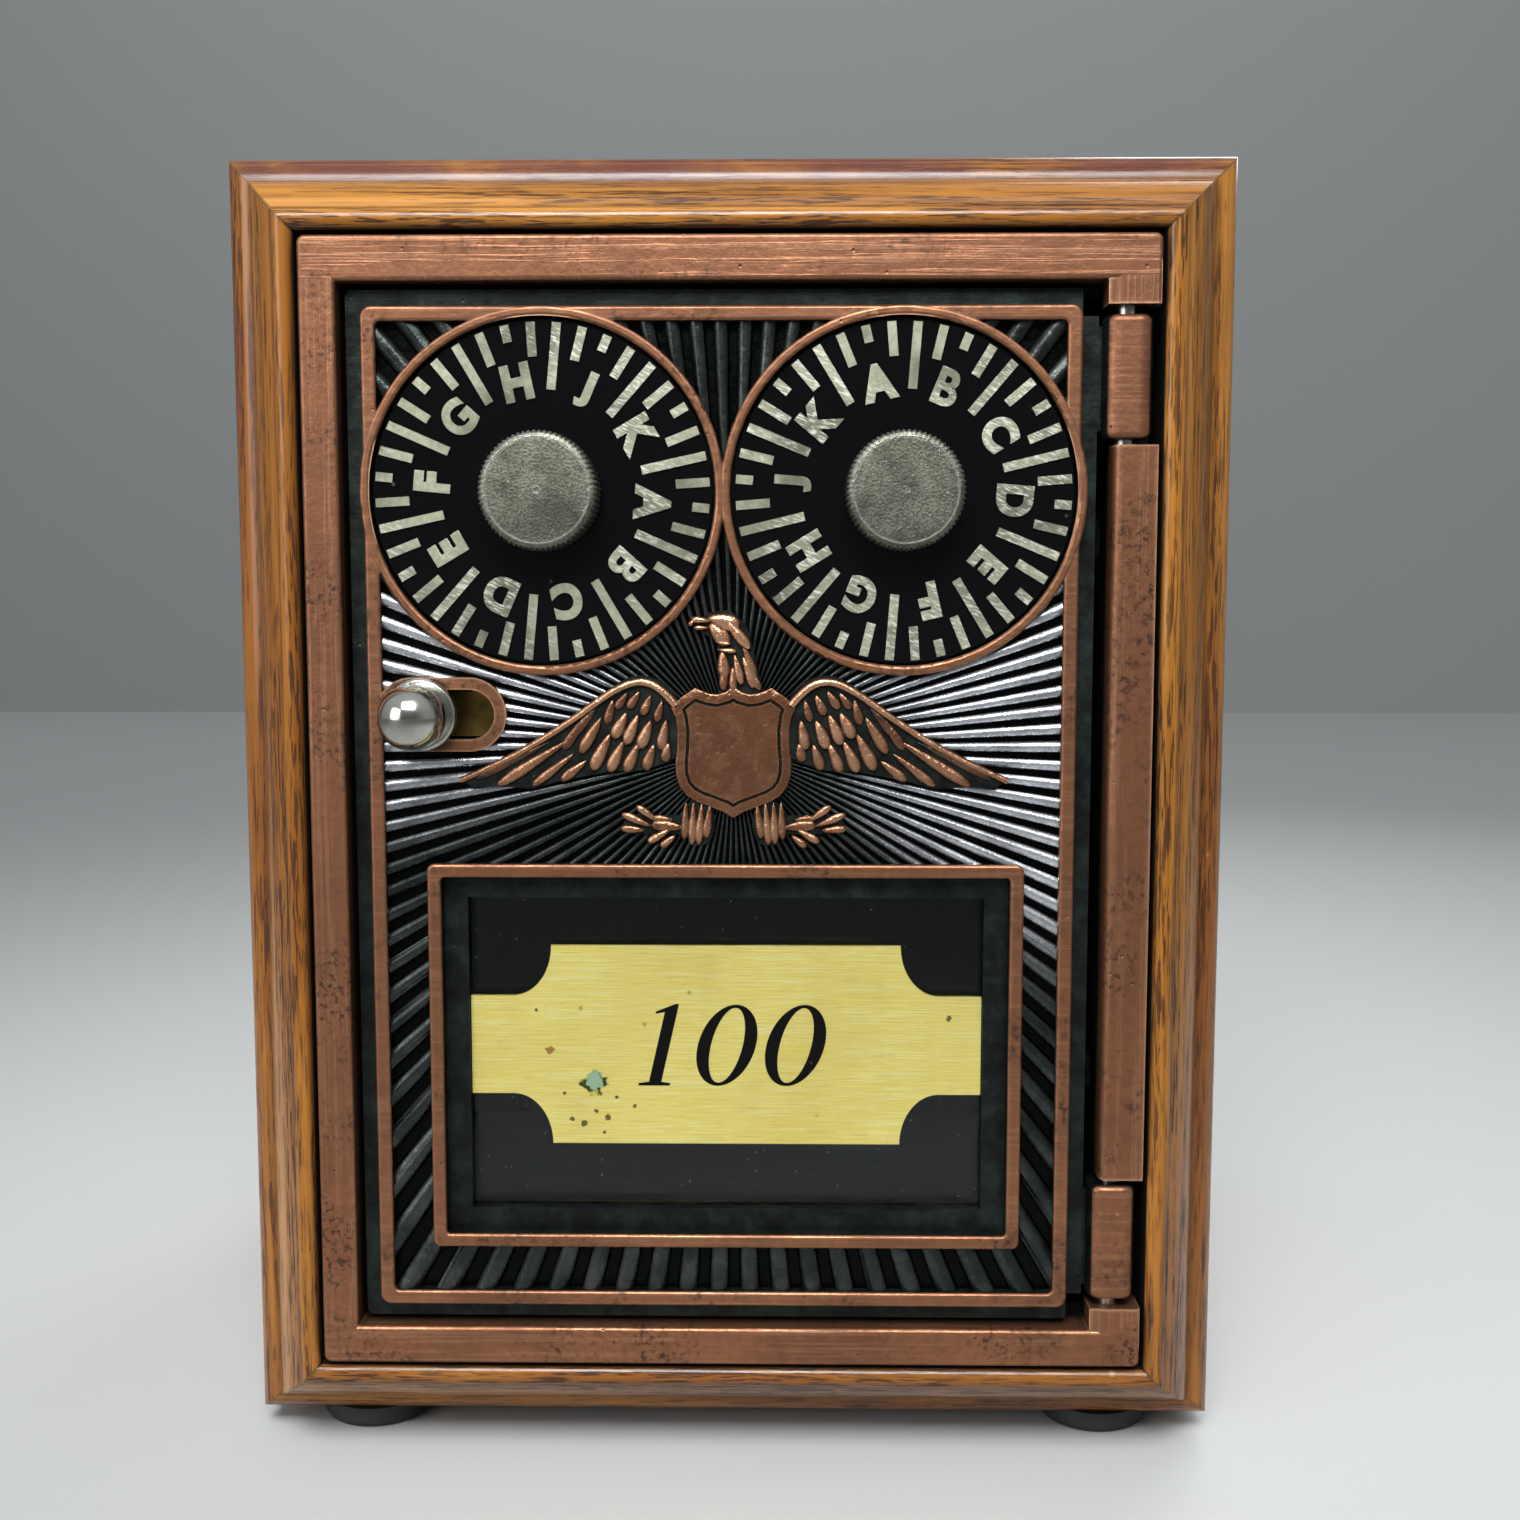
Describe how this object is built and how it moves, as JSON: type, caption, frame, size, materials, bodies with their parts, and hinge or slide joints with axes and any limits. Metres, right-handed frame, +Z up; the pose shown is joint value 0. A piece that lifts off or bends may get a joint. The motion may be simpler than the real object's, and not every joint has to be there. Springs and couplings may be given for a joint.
{
  "type": "post office box door bank",
  "caption": "Small oak coin bank whose front is a cast post office box door with combination dials, ball latch, eagle relief, window and number plate.",
  "frame": {"origin": "on the surface under the feet, at the middle of the whole object seen from above", "axes": "+Z up, -Y towards the person who faces the door, +X to that person's right"},
  "size_m": [0.1106, 0.1082, 0.1453],
  "materials": {
    "oak": "oiled and varnished oak, golden brown, open grain",
    "oak_panel": "plain oak panel, satin varnish",
    "rubber": "black rubber",
    "steel_screws": "plain steel screws",
    "bronze_frame": "copper-bronze antique finish, worn at the edges",
    "bronze_door": "copper-bronze antique finish, black patina in the recesses",
    "hinge_steel": "plain steel pin",
    "glass": "clear window glass",
    "plate_brass": "brushed yellow brass with small tarnish spots",
    "lock_brass": "dull tarnished brass",
    "dial_enamel": "black enamel with bare raised marks",
    "nickel": "satin nickel, worn",
    "spindle_steel": "turned steel",
    "polished_steel": "polished steel"
  },
  "bodies": {
    "cabinet": {"box_top": "oak", "box_bottom": "oak", "box_left": "oak", "box_right": "oak", "back_panel": "oak_panel", "back_screws": "steel_screws", "rubber_feet": "rubber", "foot_screws": "steel_screws", "door_frame": "bronze_frame", "frame_screws": "steel_screws", "hinge_pin_top": "hinge_steel", "hinge_pin_bottom": "hinge_steel"},
    "door_leaf": {"door": "bronze_door", "window_glass": "glass", "number_plate": "plate_brass", "glass_retainer": "lock_brass", "retainer_screws": "steel_screws", "left_bush": "lock_brass", "right_bush": "lock_brass", "bolt_guide_left": "lock_brass", "bolt_guide_right": "lock_brass", "guide_screws": "steel_screws", "lock_plate": "lock_brass", "lock_pillars": "lock_brass", "lock_screws": "steel_screws"},
    "dial_left": {"left_dial": "dial_enamel", "left_knob": "nickel", "left_spindle": "spindle_steel", "left_tumbler": "lock_brass", "left_nut": "lock_brass"},
    "dial_right": {"right_dial": "dial_enamel", "right_knob": "nickel", "right_spindle": "spindle_steel", "right_tumbler": "lock_brass", "right_nut": "lock_brass"},
    "latch": {"latch_bolt": "lock_brass", "latch_fence": "lock_brass", "fence_rivets": "lock_brass", "latch_flange": "polished_steel", "latch_knob": "polished_steel", "latch_nut": "lock_brass"}
  },
  "joints": [
    {"name": "door_swing", "type": "hinge", "parent": "cabinet", "child": "door_leaf", "pos_m": [0.042, -0.04333, 0.0739], "axis": [0, 0, 1], "range_deg": [0, 110]},
    {"name": "left_dial_turn", "type": "hinge", "parent": "door_leaf", "child": "dial_left", "pos_m": [-0.0198, -0.04593, 0.1085], "axis": [0, -1, 0], "continuous": true},
    {"name": "right_dial_turn", "type": "hinge", "parent": "door_leaf", "child": "dial_right", "pos_m": [0.0185, -0.04593, 0.1085], "axis": [0, -1, 0], "continuous": true},
    {"name": "latch_slide", "type": "slide", "parent": "door_leaf", "child": "latch", "axis": [1, 0, 0], "range_m": [-0.002, 0.004]}
  ]
}
